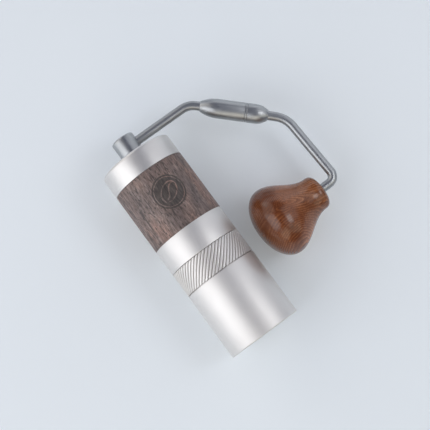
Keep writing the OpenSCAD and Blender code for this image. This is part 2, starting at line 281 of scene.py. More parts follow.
def satin_aluminium(name, tint, rough):
    """Bead-blasted and clear anodised: an even, faintly clouded satin. The blasting scatters
    part of the light all ways, so the surface isn't wholly metallic."""
    s = Shader(name, Metallic=0.75)
    cloud = s.noise(s.place, 60, detail=3)
    colour = s.ramp(cloud, (0.3, tuple(c * 0.965 for c in tint)), (0.7, tint))
    # Painted shade: a dull brown mixed in where the recess attribute marks the knurl's valleys.
    recess = s.node("Attribute", attribute_name="recess").outputs["Fac"]
    colour = s.mix(s.math("MULTIPLY", recess, 0.4), colour, VALLEY_SHADE_BROWN)
    blast = s.noise(s.place, 5200, detail=2)
    r = s.remap(s.noise(s.place, 240, detail=5), 0.25, 0.75, rough - 0.03, rough + 0.03)
    return s.set(Base_Color=colour, Roughness=r, Normal=s.bump(blast, 0.00002, 0.5))


def satin_steel(name, tint, rough):
    """Stainless bar, tumbled to a satin, with faint scuffs."""
    s = Shader(name, Metallic=1.0)
    cloud = s.noise(s.place, 180, detail=4)
    colour = s.ramp(cloud, (0.25, tuple(c * 0.9 for c in tint)), (0.75, tint))
    grain = s.noise(s.place, 2600, detail=3)
    r = s.remap(s.noise(s.place, 420, detail=5), 0.25, 0.75, rough - 0.03, rough + 0.04)
    return s.set(Base_Color=colour, Roughness=r, Normal=s.bump(grain, 0.000008, 0.35))


def dark_wood():
    """Open-grained grey-brown wood: patches, fine fibre and short dark pores up the body."""
    s = Shader("dark_wood", Specular_IOR_Level=0.68)
    fibre = s.noise(s.stretch((1, 1, 0.20)), 900, detail=7, rough=0.72)
    colour = s.ramp(fibre, (0.30, (0.070, 0.048, 0.041)), (0.45, (0.157, 0.110, 0.096)),
                    (0.57, (0.238, 0.174, 0.156)), (0.72, (0.385, 0.300, 0.272)))
    patch = s.noise(s.stretch((1, 1, 0.35), location=(0.3, 0.1, 0)), 95, detail=3)
    tone = s.ramp(patch, (0.36, (0.74, 0.75, 0.78)), (0.5, (1.0, 0.98, 0.97)),
                  (0.64, (1.26, 1.07, 0.98)))
    colour = s.mix(1.0, colour, tone, "MULTIPLY")
    short = s.noise(s.stretch((1, 1, 0.30), location=(0.1, 0.7, 0)), 1150, detail=3)
    long = s.noise(s.stretch((1, 1, 0.11), location=(0.6, 0.2, 0)), 640, detail=3)
    pore = s.math("MAXIMUM", s.remap(short, 0.55, 0.63, 0, 1, smooth=True),
                  s.remap(long, 0.60, 0.67, 0, 1, smooth=True))
    colour = s.mix(s.math("MULTIPLY", pore, 0.8), colour, (0.034, 0.025, 0.022))
    burnt = s.node("Attribute", attribute_name="engraved").outputs["Fac"]
    scorch = s.mix(s.remap(fibre, 0.34, 0.66, 0, 1), (0.020, 0.016, 0.015),
                   (0.085, 0.068, 0.060))
    colour = s.mix(s.math("MULTIPLY", burnt, 0.92), colour, scorch)
    height = s.math("SUBTRACT", s.math("MULTIPLY", fibre, 0.6), pore)
    rough = s.remap(fibre, 0.3, 0.7, 0.56, 0.44)
    return s.set(Base_Color=colour, Roughness=rough, Normal=s.bump(height, 0.00012, 0.8))


EYE_TURN, EYE_Z, EYE_SIZE = math.radians(14.5), 26.7, 5.0     # mm along and round the knob
KNOB_BROWN = (0.174, 0.0665, 0.0258)
RINGS_PER_M = 900
RING_DRIFT_M = 0.0034             # how far the growth rings wander


def turned_wood(place):
    """Lacquered brown wood. Its growth rings run along the knob, drift a little to one side
    and close round an eye on the belly."""
    s = Shader("turned_wood", Coat_Weight=1.0, Coat_Roughness=0.2, Specular_IOR_Level=0.0)
    inverse = place.inverted()
    local = s.stretch((1, 1, 1), tuple(inverse.to_euler()), tuple(inverse.translation * MM))
    split = s.node("SeparateXYZ", {"Vector": local})
    x, y, z = (split.outputs[k] for k in "XYZ")
    past = s.math("SUBTRACT", z, EYE_Z * MM)
    across = s.math("ADD", s.math("MULTIPLY", x, math.cos(EYE_TURN)),
                    s.math("MULTIPLY", y, math.sin(EYE_TURN)))
    across = s.math("ADD", across, s.math("MULTIPLY", s.math("ABSOLUTE", past), 0.2))
    along = s.math("MAXIMUM", s.math("MULTIPLY", past, 0.85), s.math("MULTIPLY", past, -0.3))
    along = s.math("MULTIPLY", s.math("TANH", s.math("DIVIDE", along, EYE_SIZE * MM)),
                   EYE_SIZE * MM)
    far = s.math("SQRT", s.math("ADD", s.math("MULTIPLY", along, along),
                                s.math("MULTIPLY", across, across)))
    wander = s.noise(s.stretch((1, 1, 0.5), vector=local), 55, detail=2)
    drift = s.math("SUBTRACT", wander, 0.5)
    depth = s.math("ADD", far, s.math("MULTIPLY", drift, RING_DRIFT_M))
    ring = s.math("FRACT", s.math("MULTIPLY", depth, RINGS_PER_M))
    line = s.ramp(ring, (0.0, (0.62, 0.54, 0.46)), (0.40, (0.86, 0.80, 0.75)),
                  (0.68, (1.25, 1.38, 1.52)), (0.84, (1.62, 1.98, 2.45)),
                  (1.0, (0.62, 0.54, 0.46)))
    faint = s.remap(s.noise(local, 95, detail=3), 0.36, 0.62, 0.25, 0.85)
    colour = s.mix(faint, KNOB_BROWN, s.mix(1.0, KNOB_BROWN, line, "MULTIPLY"))
    fibre = s.noise(s.stretch((1, 1, 0.06), vector=local), 1500, detail=4, rough=0.6)
    tone = s.ramp(fibre, (0.3, (0.76, 0.70, 0.66)), (0.5, (1, 1, 1)),
                  (0.72, (1.22, 1.28, 1.32)))
    colour = s.mix(1.0, colour, tone, "MULTIPLY")
    cloud = s.ramp(s.noise(local, 48, detail=3), (0.34, (0.66, 0.56, 0.50)),
                   (0.62, (1.14, 1.10, 1.06)))
    colour = s.mix(1.0, colour, cloud, "MULTIPLY")
    # Painted light and shade along the knob: the waist is made paler and the wide end darker and redder, as the
    # light falls on them.
    zone = s.math("ADD", s.math("DIVIDE", z, KNOB_L * MM), s.math("MULTIPLY", drift, 0.25))
    painted_light_along_knob = s.ramp(zone, (0.0, (1.15, 1.1, 1.05)), (0.17, (1.3, 1.25, 1.2)),
                   (0.30, (1.5, 1.45, 1.4)), (0.43, (1.8, 1.75, 1.7)),
                   (0.56, (1.5, 1.35, 1.25)), (0.68, (0.95, 0.78, 0.65)),
                   (0.82, (1.0, 0.85, 0.75)), (1.0, (0.9, 0.8, 0.75)))
    colour = s.mix(1.0, colour, painted_light_along_knob, "MULTIPLY")
    pores = s.noise(s.stretch((1, 1, 0.16), vector=local), 2300, detail=2)
    pore = s.remap(pores, 0.58, 0.68, 0, 1, smooth=True)
    colour = s.mix(s.math("MULTIPLY", pore, 0.6), colour, (0.030, 0.010, 0.005))
    rough = s.remap(fibre, 0.3, 0.7, 0.42, 0.34)
    return s.set(Base_Color=colour, Roughness=rough, Normal=s.bump(pore, 0.00003, -0.3))


def machined(name, tint, rough, rings=9000):
    """Turned or ground metal: fine concentric tool marks about the part's own Z."""
    s = Shader(name, Metallic=1.0)
    split = s.node("SeparateXYZ", {"Vector": s.place})
    x, y = split.outputs["X"], split.outputs["Y"]
    radius = s.math("SQRT", s.math("ADD", s.math("MULTIPLY", x, x),
                                   s.math("MULTIPLY", y, y)))
    sum_rz = s.math("ADD", radius, split.outputs["Z"])
    mark = s.math("SINE", s.math("MULTIPLY", sum_rz, rings))
    cloud = s.noise(s.place, 300, detail=4)
    colour = s.ramp(cloud, (0.3, tuple(c * 0.86 for c in tint)), (0.7, tint))
    r = s.remap(cloud, 0.3, 0.7, rough - 0.05, rough + 0.07)
    return s.set(Base_Color=colour, Roughness=r, Normal=s.bump(mark, 0.000008, 0.6))


def plain_rubber():
    s = Shader("seal_rubber", Specular_IOR_Level=0.35)
    dust = s.noise(s.place, 900, detail=4)
    colour = s.ramp(dust, (0.35, (0.012, 0.012, 0.013)), (0.75, (0.045, 0.045, 0.047)))
    return s.set(Base_Color=colour, Roughness=s.remap(dust, 0.3, 0.7, 0.5, 0.72),
                 Normal=s.bump(dust, 0.00003, 0.4))


def acetal():
    s = Shader("bushing_plastic", Subsurface_Weight=0.08)
    fleck = s.noise(s.place, 700, detail=3)
    colour = s.ramp(fleck, (0.3, (0.70, 0.68, 0.61)), (0.7, (0.80, 0.785, 0.72)))
    return s.set(Base_Color=colour, Roughness=s.remap(fleck, 0.3, 0.7, 0.36, 0.5),
                 Normal=s.bump(fleck, 0.00002, 0.3))


# ---------------------------------------------------------------- outer body pieces

KNURLS = 58
KNURL_LOW = SEAM - 15.6
KNURL_SLOPE = 0.924 / BODY_R      # radians of turn for each mm of height
KNURL_DEPTH = 0.7
KNURL_VALLEY = 0.19               # half its width, as a share of a flute
KNURL_STEPS = (0, 0.16, 0.29, 0.35, 0.42, 0.5, 0.58, 0.65, 0.71, 0.84)
THREAD_PITCH, THREAD_DEPTH, THREAD_FADE = 1.5, 0.42, 1.2
THREAD_STEP = 0.19                # between the rings of points that carry a thread


def knurl(r, z, t):
    """Helical flutes above the cup's relief groove: pillowed ridges, narrow valleys."""
    rise = min(max(z, KNURL_LOW + 0.3), CUP_TOP) - KNURL_LOW
    turned = t + rise * KNURL_SLOPE
    if r < BODY_R - 0.5 or z < KNURL_LOW + 0.35:
        return r, turned
    p = (t * KNURLS / TAU) % 1.0
    valley = max(0.0, 1 - abs(p - 0.5) / KNURL_VALLEY)
    return r - KNURL_DEPTH * (0.8 * valley + 0.2 * (1 - math.cos(TAU * p)) / 2), turned


def thread(depth, z0, z1):
    """A shape for lathe that cuts a thread from z0 to z1 and runs out at both ends."""
    def shape(r, z, t):
        fade = min(1, max(0, (z - z0) / THREAD_FADE), max(0, (z1 - z) / THREAD_FADE))
        p = (z / THREAD_PITCH - t / TAU) % 1.0
        return r + depth * fade * min(1, max(0, 1.6 * abs(2 * p - 1) - 0.3)), t
    return shape


def make_catch_cup():
    thread_low, thread_r = SEAM - 10.5, BODY_R - 1.5
    groove = KNURL_LOW
    wall = rounded([(0, 0, 0), (BODY_R, 0, 0.8), (BODY_R, groove - 0.3, 0.1),
                    (BODY_R - 0.95, groove - 0.25, 0), (BODY_R - 0.95, groove + 0.3, 0)])
    wall += [(BODY_R, groove + 0.42)]
    wall += rows((BODY_R, groove + 0.42), (BODY_R, CUP_TOP - 0.35), 1.0)
    wall += [(BODY_R, CUP_TOP - 0.35), (BODY_R - 0.12, CUP_TOP - 0.1),
             (BODY_R - 0.35, CUP_TOP)]
    mouth = [(thread_r + 0.35, CUP_TOP), (thread_r, CUP_TOP - 0.35)]
    mouth += rows((thread_r, CUP_TOP - 0.35), (thread_r, thread_low), THREAD_STEP)
    inside = rounded([(thread_r, thread_low, 0), (CUP_R, thread_low, 0.3),
                      (CUP_R, CUP_FLOOR, 2.2), (0, CUP_FLOOR, 0)], 6)
    cut = thread(THREAD_DEPTH, thread_low + 1.5, CUP_TOP - 0.6)

    def shape(r, z, t):
        if thread_r - 0.01 < r < thread_r + 0.01 and z > thread_low:
            return cut(r, z, t)
        return knurl(r, z, t) if r > thread_r + 0.6 else (r, t)

    angles = [TAU * (k + step) / KNURLS for k in range(KNURLS) for step in KNURL_STEPS]
    obj = lathe("catch_cup_shell", wall + mouth + inside, angles=angles, shape=shape)

    # How deep a point lies in a knurl valley, which sets how much painted shade it gets.
    def recess(v):
        sunk = BODY_R - 0.1 - math.hypot(v.x, v.y)
        outside = sunk < 1 and KNURL_LOW - 1 < v.z < CUP_TOP - 0.05
        return min(1, max(0, sunk / 0.45)) if outside else 0

    paint(obj, "recess", recess)
    return obj


def make_body_shell():
    """A tube with its spigot below. Its grooves for the cup's and the lid's O-ring and for
    the circlip are given as (low, top)."""
    bore = BODY_R - 3.7
    top_bore = BODY_R - 3.1
    neck = BODY_R - 1.7
    spigot = BODY_R - 1.65
    low_z = low("body_shell").z
    thread_top = SEAM - 3.2
    cup_ring = SEAM - 2.75, SEAM - 1.25
    lid_ring = LID_LOW + 5.05, LID_LOW + 6.45
    seat = low("upper_carrier").z
    clip = seat + 5, seat + 6
    outline = rounded([(bore + 0.3, low_z, 0), (spigot, low_z, 0.5),
                       (spigot, low_z + 1.2, 0)])
    outline += rows((spigot, low_z + 1.2), (spigot, thread_top), THREAD_STEP)
    outline += rounded([(spigot, thread_top, 0), (spigot, cup_ring[0], 0.05),
                        (spigot - 0.8, cup_ring[0], 0.1), (spigot - 0.8, cup_ring[1], 0.1),
                        (spigot, cup_ring[1], 0.05), (spigot, SEAM, 0.05),
                        (BODY_R, SEAM, 0.25), (BODY_R, BAND_TOP, 0.12),
                        (neck, BAND_TOP, 0.05), (neck, lid_ring[0], 0.05),
                        (neck - 0.7, lid_ring[0], 0.1), (neck - 0.7, lid_ring[1], 0.1),
                        (neck, lid_ring[1], 0.05),
                        (neck, NECK_TOP, 0.5), (top_bore, NECK_TOP, 0.4),
                        (top_bore, clip[1], 0), (top_bore + 0.6, clip[1], 0),
                        (top_bore + 0.6, clip[0], 0), (top_bore, clip[0], 0),
                        (top_bore, seat, 0), (bore, seat, 0.1), (bore, low_z + 0.3, 0)])
    cut = thread(-THREAD_DEPTH, low_z + 1.4, SEAM - 3.4)

    def shape(r, z, t):
        return cut(r, z, t) if abs(r - spigot) < 0.01 and z < thread_top else (r, t)

    return lathe("body_tube", outline, 200, shape)


EMBLEM_TURN = math.radians(-90 + 5.9)
EMBLEM_Z = (WOOD_LOW + WOOD_TOP) / 2 + 2.1
EMBLEM_R, EMBLEM_RING_R = 10.2, 8.9
EMBLEM_WIDE, EMBLEM_HIGH = 12, 11     # mm from its middle that get closer points
BEAN_A, BEAN_B, BEAN_TURN = 6.4, 4.3, math.radians(38)
ENGRAVING = 0.22


def line(distance, half):
    """1 within half a line's width of its middle and 0 outside it, with a soft edge."""
    return min(1, max(0, (half - abs(distance)) / 0.16 + 0.5))


def emblem(u, v):
    """1 where the wood is engraved: a disc with a thin ring and a plain coffee bean left
    standing in it. u and v are mm across and up from its middle."""
    r = math.hypot(u, v)
    disc = min(1, max(0, (EMBLEM_R - r) / 0.2))
    ring = line(r - EMBLEM_RING_R, 0.28)
    c, s = math.cos(BEAN_TURN), math.sin(BEAN_TURN)
    a, b = u * c + v * s, v * c - u * s
    reach = math.hypot(a / BEAN_A, b / BEAN_B)
    bean = line((reach - 1) * 5.0, 0.36)
    crease = line(b - 1.15 * math.sin(a * math.pi / BEAN_A), 0.42) if reach < 1 else 0
    return disc * (1 - max(ring, bean, crease))


def make_wood_band():
    """The points are packed close round the emblem and sparse elsewhere."""
    inner = BODY_R - 1.65
    spread = math.asin(EMBLEM_WIDE / BODY_R)
    fine = [EMBLEM_TURN + spread * k / 62 for k in range(-62, 63)]
    rest = TAU - 2 * spread
    coarse = [fine[-1] + rest * k / 110 for k in range(1, 110)]
    outline = rounded([(inner, WOOD_LOW, 0), (inner + 0.5, WOOD_LOW, 0),
                       (BODY_R, WOOD_LOW, 0.2), (BODY_R, WOOD_LOW + 3, 0)])
    fine_low, fine_top = EMBLEM_Z - EMBLEM_HIGH, EMBLEM_Z + EMBLEM_HIGH
    outline += rows((BODY_R, WOOD_LOW + 3), (BODY_R, fine_low), 1)
    outline += rows((BODY_R, fine_low), (BODY_R, fine_top), 0.2)
    outline += rounded([(BODY_R, fine_top, 0), (BODY_R, WOOD_TOP, 0.2),
                        (inner, WOOD_TOP, 0)])

    def mask(z, t):
        return emblem((t - EMBLEM_TURN) * BODY_R, z - EMBLEM_Z)

    def shape(r, z, t):
        deep = mask(z, t) if r > BODY_R - 0.01 else 0
        return r - ENGRAVING * deep, t

    obj = lathe("wood_sleeve", outline, angles=fine + coarse, shape=shape)

    def engraved(v):
        t = EMBLEM_TURN + (math.atan2(v.y, v.x) - EMBLEM_TURN + math.pi) % TAU - math.pi
        return mask(v.z, t) if math.hypot(v.x, v.y) > BODY_R - 0.5 else 0

    paint(obj, "engraved", engraved)
    return obj


def make_lid():
    inner, bore, ceiling = BODY_R - 1.55, 7.5, LID_TOP - 2.2
    outline = rounded([(inner, ceiling, 0.3), (inner, LID_LOW, 0.15),
                       (BODY_R, LID_LOW, 0.15), (BODY_R, LID_TOP, 1.8),
                       (bore, LID_TOP, 0.25), (bore, ceiling, 0.1),
                       (inner, ceiling, 0.3)], 7)
    return lathe("lid_shell", outline[:-1], 200)


# ---------------------------------------------------------------- crank pieces

SLOPE = Vector(joint("arm_fold")["axis"]) * -1
SWIVEL = Vector(joint("arm_fold")["pos_m"]) / MM
KNOB_DIR = Vector(joint("knob_spin")["axis"])
NECK = Vector(joint("knob_spin")["pos_m"]) / MM
SWIVEL_L = 41.0
SWIVEL_R = 5.85
SWIVEL_END_R = ROD_R + 0.35
SOCKET_L = 27.0
PIN_BORE_R = 2.52
ELBOW_R, SHOULDER_R, HEEL_R = 12.0, 16.0, 5.0
LEAN = math.radians(2.8)
DROP_DIR = Vector((math.sin(LEAN), 0, -math.cos(LEAN)))
DROP_L = 46.6
NECK_LEAD = 10.7
PIVOT_R, PIVOT_L = 2.25, 34.6


def aimed(origin, direction):
    """Matrix in mm that puts local +Z on direction at origin."""
    turn = Vector((0, 0, 1)).rotation_difference(direction)
    return Matrix.Translation(origin) @ turn.to_matrix().to_4x4()


AT_SWIVEL = aimed(SWIVEL, SLOPE)
AT_KNOB = aimed(NECK, KNOB_DIR)


def bend(corner, into, out, radius, steps=16):
    """Points of an arc that rounds the corner between two directions."""
    turn = into.angle(out)
    back = radius * math.tan(turn / 2)
    start = corner - into * back
    side = (out - into * into.dot(out)).normalized()
    return [start + into * (radius * math.sin(turn * k / steps))
            + side * (radius * (1 - math.cos(turn * k / steps)))
            for k in range(steps + 1)]


def make_inner_rod():
    x_axis = Vector((1, 0, 0))
    lead = (ARM_Z - SWIVEL.z) / -SLOPE.z
    elbow = SWIVEL - SLOPE * lead
    points = [Vector((-4.9, 0, ARM_Z))] + bend(elbow, x_axis, SLOPE, ELBOW_R)
    points.append(SWIVEL + SLOPE * 8)
    return sweep("crank_rod_inner", [(p, ROD_R) for p in points])


def make_outer_rod():
    """Ends in the thinner pivot that the knob turns on."""
    heel = NECK - KNOB_DIR * NECK_LEAD
    shoulder = heel - DROP_DIR * DROP_L
    points = [SWIVEL + SLOPE * (SWIVEL_L - 4.4)]
    points += bend(shoulder, SLOPE, DROP_DIR, SHOULDER_R)
    points += bend(heel, DROP_DIR, KNOB_DIR, HEEL_R)
    end = NECK - KNOB_DIR * 0.3
    path = [(p, ROD_R) for p in points] + [(end - KNOB_DIR * 0.15, ROD_R)]
    path += [(end, ROD_R - 0.15), (end + KNOB_DIR * 0.01, PIVOT_R),
             (NECK + KNOB_DIR * PIVOT_L, PIVOT_R)]
    return sweep("crank_rod_outer", path)


def make_hub():
    """A cap over a stem, with a groove for its clip and a hexagon hole for the shaft."""
    stem_r, clip_r = 5.5, 4.9
    clip_top, clip_low, foot = LID_TOP - 4.2, LID_TOP - 5.0, LID_TOP - 7.5
    hole_top, hex_flat = LID_TOP + 4.2, 3.06
    outline = rounded([(0, HUB_TOP, 0), (HUB_R, HUB_TOP, 1.0), (HUB_R, HUB_SEAT, 0.25),
                       (stem_r, HUB_SEAT, 0.05), (stem_r, clip_top, 0),
                       (clip_r, clip_top, 0), (clip_r, clip_low, 0),
                       (stem_r, clip_low, 0), (stem_r, foot, 0.3),
                       (3.7, foot, 0.3), (3.5, hole_top, 0), (0, hole_top, 0)], 6)

    def hexagon(r, z, t):
        if r > 4 or z > hole_top + 0.1:
            return r, t
        sector = (t + math.pi / 6) % (math.pi / 3) - math.pi / 6
        return hex_flat / math.cos(sector), t

    return lathe("crank_hub_cap", outline[::-1], 144, hexagon)


def bulge(r0, r1, u):
    """From r0 to r1 as u goes from 0 to 1, level where it reaches r1."""
    return r0 + (r1 - r0) * (1 - (1 - u) ** 2)


def make_socket():
    taper, rod_seat, well = 10.8, 8.2, 10.5
    spring_r, bushing_r, bushing_z = 4.2, 4.62, 22.5
    nose = [(bulge(SWIVEL_END_R, SWIVEL_R, k / 16), taper * k / 16) for k in range(17)]
    start = [(0, rod_seat), (ROD_R + 0.02, rod_seat), (ROD_R + 0.02, 0.15),
             (ROD_R + 0.17, 0)]
    end = rounded([(SWIVEL_R, taper, 0), (SWIVEL_R, SOCKET_L, 0.12),
                   (bushing_r, SOCKET_L, 0.15), (bushing_r, bushing_z, 0),
                   (spring_r, bushing_z, 0), (spring_r, well, 0)], 3)
    return lathe("swivel_socket_shell", start + nose[1:] + end[1:] + [(0, well)], 96,
                 place=AT_SWIVEL)


def make_collar():
    low_z, top_z, r = SOCKET_L + GAP, SOCKET_L + 1.35, SWIVEL_R - 0.05
    outline = rounded([(PIN_BORE_R, low_z, 0), (3, low_z, 0), (r, low_z, 0.1),
                       (r, top_z, 0.1), (PIN_BORE_R, top_z, 0)], 3)
    return lathe("swivel_ring", outline, 96, place=AT_SWIVEL)


def make_swivel_end():
    start, taper, seat = SOCKET_L + 1.5, 7.5, SWIVEL_L - 4.5
    tail = [(bulge(SWIVEL_END_R, SWIVEL_R, k / 16), SWIVEL_L - taper * k / 16)
            for k in range(16, -1, -1)]
    outline = rounded([(PIN_BORE_R, start, 0), (3, start, 0), (SWIVEL_R, start, 0.12),
                       (SWIVEL_R, SWIVEL_L - taper, 0)], 3)
    outline += tail[1:] + [(ROD_R + 0.02, SWIVEL_L), (ROD_R + 0.02, seat),
                           (PIN_BORE_R, seat)]
    return lathe("swivel_tip", outline, 96, place=AT_SWIVEL)


# ---------------------------------------------------------------- knob

KNOB_R, KNOB_L, KNOB_NECK_R = 22.1, 46.2, 10.8
BELLY_L, WAIST_L = 14.0, 27.0
NECK_POWER, BELLY_POWER = 2.8, 2.08      # 2 is an ellipse, and more is squarer
CAP_R, CAP_Z = 5.6, 39.5
SLEEVE_R, SLEEVE_L = 4.2, 34


def oval(u, n):
    """The height of a superellipse of power n at u from its middle, both from 0 to 1."""
    return max(0.0, 1 - u ** n) ** (1 / n)


def belly_z(r):
    """The height of the knob's wide end at radius r."""
    return KNOB_L - BELLY_L * (1 - oval(r / KNOB_R, BELLY_POWER))


def knob_curve():
    """(r, z) from the neck to the wide end, the neck at z = 0."""
    shoulder_l = KNOB_L - BELLY_L - WAIST_L
    out = [(KNOB_NECK_R * oval(min(1, math.cos(a) * 0.985), NECK_POWER),
            shoulder_l * (1 - math.cos(a)))
           for a in (math.radians(9 * k) for k in range(11))]
    out += [(KNOB_NECK_R + (KNOB_R - KNOB_NECK_R) * (1 - math.cos(math.pi * k / 30)) / 2,
             shoulder_l + WAIST_L * k / 30) for k in range(1, 31)]
    out += [(KNOB_R * oval(math.sin(a), BELLY_POWER), KNOB_L - BELLY_L * (1 - math.sin(a)))
            for a in (math.radians(90 * k / 28) for k in range(1, 28))]
    return out + [(0, KNOB_L)]


def make_knob():
    outside = [p for p in knob_curve() if p[1] < KNOB_L / 2 or p[0] > CAP_R + 0.3]
    lip, bore = belly_z(CAP_R), SLEEVE_R + 0.02
    outline = [(SLEEVE_R + 0.1, 0)] + outside
    outline += [(CAP_R + 0.08, lip - 0.01), (CAP_R, lip - 0.1),
                (CAP_R, SLEEVE_L), (bore, SLEEVE_L), (bore, 0.1)]
    return lathe("knob_turned", outline, 160, place=AT_KNOB)


def make_knob_cap():
    dome = [(r, belly_z(r)) for r in (5.4, 5, 4, 3, 2, 1)]
    outline = [(0, CAP_Z), (5.35, CAP_Z), (5.55, CAP_Z + 0.2),
               (5.55, belly_z(CAP_R) - 0.12)]
    return lathe("knob_plug", outline + dome + [(0, KNOB_L)], 64, place=AT_KNOB)


def make_knob_bushing():
    outline = rounded([(2.3, 0.35, 0), (2.5, 0.05, 0), (SLEEVE_R, 0.05, 0.2),
                       (SLEEVE_R, SLEEVE_L, 0.2), (2.3, SLEEVE_L, 0)], 3)
    return lathe("knob_sleeve", outline, 64, place=AT_KNOB)


# ---------------------------------------------------------------- burrs

BURR_LOW, BURR_TOP = low("inner_burr").z, high("inner_burr").z
SHELL_LOW, SHELL_TOP = low("outer_burr").z, high("outer_burr").z
FINE_TEETH, LARGE_TEETH = 42, 7
FINE_TOP = BURR_LOW + 4           # the small finishing teeth end here


def tooth(t, z, count, twist):
    """0 at a cutting edge, rising to 1 at the root before the next edge."""
    return (t * count / TAU + z * twist) % 1.0


def make_inner_burr():
    """A toothed cone, its shaft hole round with two flats, and a shallow ring-shaped recess
    under its foot."""
    foot, knee = (16, BURR_LOW), (14.7, FINE_TOP)
    middle, tip = (10.4, BURR_LOW + 12), (6.6, BURR_TOP - 0.6)
    hole_flat = 3.35
    cone = [(foot[0], BURR_LOW + 0.2)] + rows(foot, knee, 0.5)
    cone += [knee] + rows(knee, middle, 0.5)
    cone += [middle] + rows(middle, tip, 0.5)
    cone += [tip, (6, BURR_TOP), (4, BURR_TOP), (3.95, BURR_LOW)]
    outline = [(5.3, BURR_LOW), (5.3, BURR_LOW + 0.7), (8.1, BURR_LOW + 0.7),
               (8.1, BURR_LOW), (15.8, BURR_LOW)] + cone

    def shape(r, z, t):
        if r < 4.1:
            return min(r, hole_flat / max(abs(math.cos(t)), 1e-6)), t
        if r < 6.1 or z < BURR_LOW + 0.1:
            return r, t
        large = tooth(t, z, LARGE_TEETH, 0.055)
        deep = min(1, max(0, (z - FINE_TOP + 1.5) / 5)) * min(1, (BURR_TOP - z) / 2)
        fine = tooth(t, z, FINE_TEETH, 0.12)
        shallow = min(1, max(0, (FINE_TOP + 1.5 - z) / 2.5))
        return r - 1.9 * deep * large ** 1.4 - 0.55 * shallow * fine, t

    return lathe("burr_cone", outline, 420, shape, sharp=30)


def make_outer_burr():
    r_out = high("outer_burr").x
    throat, mouth = (15.45, BURR_LOW + 4), (16.5, BURR_LOW + 1)
    plain_r = 17      # no teeth beyond it
    outline = [(16.98, SHELL_LOW), (r_out - 0.3, SHELL_LOW), (r_out, SHELL_LOW + 0.3),
               (r_out, SHELL_TOP - 0.3), (r_out - 0.3, SHELL_TOP), (14.6, SHELL_TOP)]
    outline += rows((14.6, SHELL_TOP), throat, 0.6)
    outline += [throat] + rows(throat, mouth, 0.5) + [mouth]

    def shape(r, z, t):
        if r > plain_r:
            return r, t
        large = tooth(-t, z, LARGE_TEETH, 0.04)
        deep = min(1, max(0, (z - FINE_TOP) / 4))
        fine = tooth(-t, z, FINE_TEETH, 0.10)
        shallow = min(1, max(0, (FINE_TOP + 2 - z) / 2))
        return r + 1.3 * deep * large ** 1.4 + 0.5 * shallow * fine, t

    return lathe("burr_shell", outline, 420, shape, sharp=30)


# ---------------------------------------------------------------- assemble

slot_materials = {
    "cup_aluminium": satin_aluminium("cup_aluminium", (0.76, 0.747, 0.733), 0.49),
    "body_aluminium": satin_aluminium("body_aluminium", (0.741, 0.728, 0.715), 0.46),
    "lid_aluminium": satin_aluminium("lid_aluminium", (0.722, 0.710, 0.696), 0.4),
    "crank_steel": satin_steel("crank_steel", (0.425, 0.440, 0.450), 0.38),
    "dark_wood": dark_wood(),
    "turned_wood": turned_wood(AT_KNOB),
    "burr_steel": machined("burr_steel", (0.40, 0.40, 0.42), 0.30, rings=5200),
    "carrier_aluminium": machined("carrier_aluminium", (0.62, 0.62, 0.63), 0.34),
    "shaft_steel": machined("shaft_steel", (0.58, 0.58, 0.59), 0.22, rings=12000),
    "screw_steel": machined("screw_steel", (0.36, 0.36, 0.37), 0.34),
    "spring_steel": machined("spring_steel", (0.42, 0.42, 0.44), 0.26),
    "bearing_steel": machined("bearing_steel", (0.68, 0.68, 0.69), 0.14),
    "cage_brass": machined("cage_brass", (0.64, 0.44, 0.18), 0.25),
    "seal_rubber": plain_rubber(),
    "bushing_plastic": acetal(),
}
for part in frame["record"]["subparts"]:
    node = frame["nodes"][part["node"]]
    node.data.materials.clear()
    node.data.materials.append(slot_materials[part["material_slot"]])

PIECES = [
    (make_catch_cup, "cup", "cup_aluminium", "catch_cup"),
    (make_body_shell, "body", "body_aluminium", "body_shell"),
    (make_wood_band, "body", "dark_wood", "wood_grip_band"),
    (make_lid, "lid", "lid_aluminium", "lid"),
    (make_hub, "crank", "crank_steel", "crank_hub"),
    (make_inner_rod, "crank", "crank_steel", "inner_rod"),
    (make_socket, "crank", "crank_steel", "swivel_socket"),
    (make_collar, "outer_arm", "crank_steel", "swivel_collar"),
    (make_swivel_end, "outer_arm", "crank_steel", "swivel_end"),
    (make_outer_rod, "outer_arm", "crank_steel", "outer_rod"),
    (make_knob, "knob", "turned_wood", "knob"),
    (make_knob_cap, "knob", "turned_wood", "knob_cap"),
    (make_knob_bushing, "knob", "cage_brass", "knob_bushing"),
    (make_inner_burr, "burr", "burr_steel", "inner_burr"),
    (make_outer_burr, "body", "burr_steel", "outer_burr"),
]
for make, body, slot, replaced in PIECES:
    finish_piece(make(), body, slot_materials[slot], replaced)


# ---------------------------------------------------------------- stage, lights, camera

BACKDROP_LOW = (0.665, 0.722, 0.780)      # the darker and the lighter of its mottle
BACKDROP_HIGH = (0.675, 0.733, 0.792)
BACKDROP_GLOW, BACKDROP_GLOW_STRENGTH = (1.0, 1.0, 0.95), 0.139
BEHIND_BACKDROP = 0.06                    # a direction whose Y is above this leads there
LIGHT_AIM = Vector((0.03, 0, 0.07))       # about the grinder's middle, in metres
LIGHT_DISTANCE = 1.2


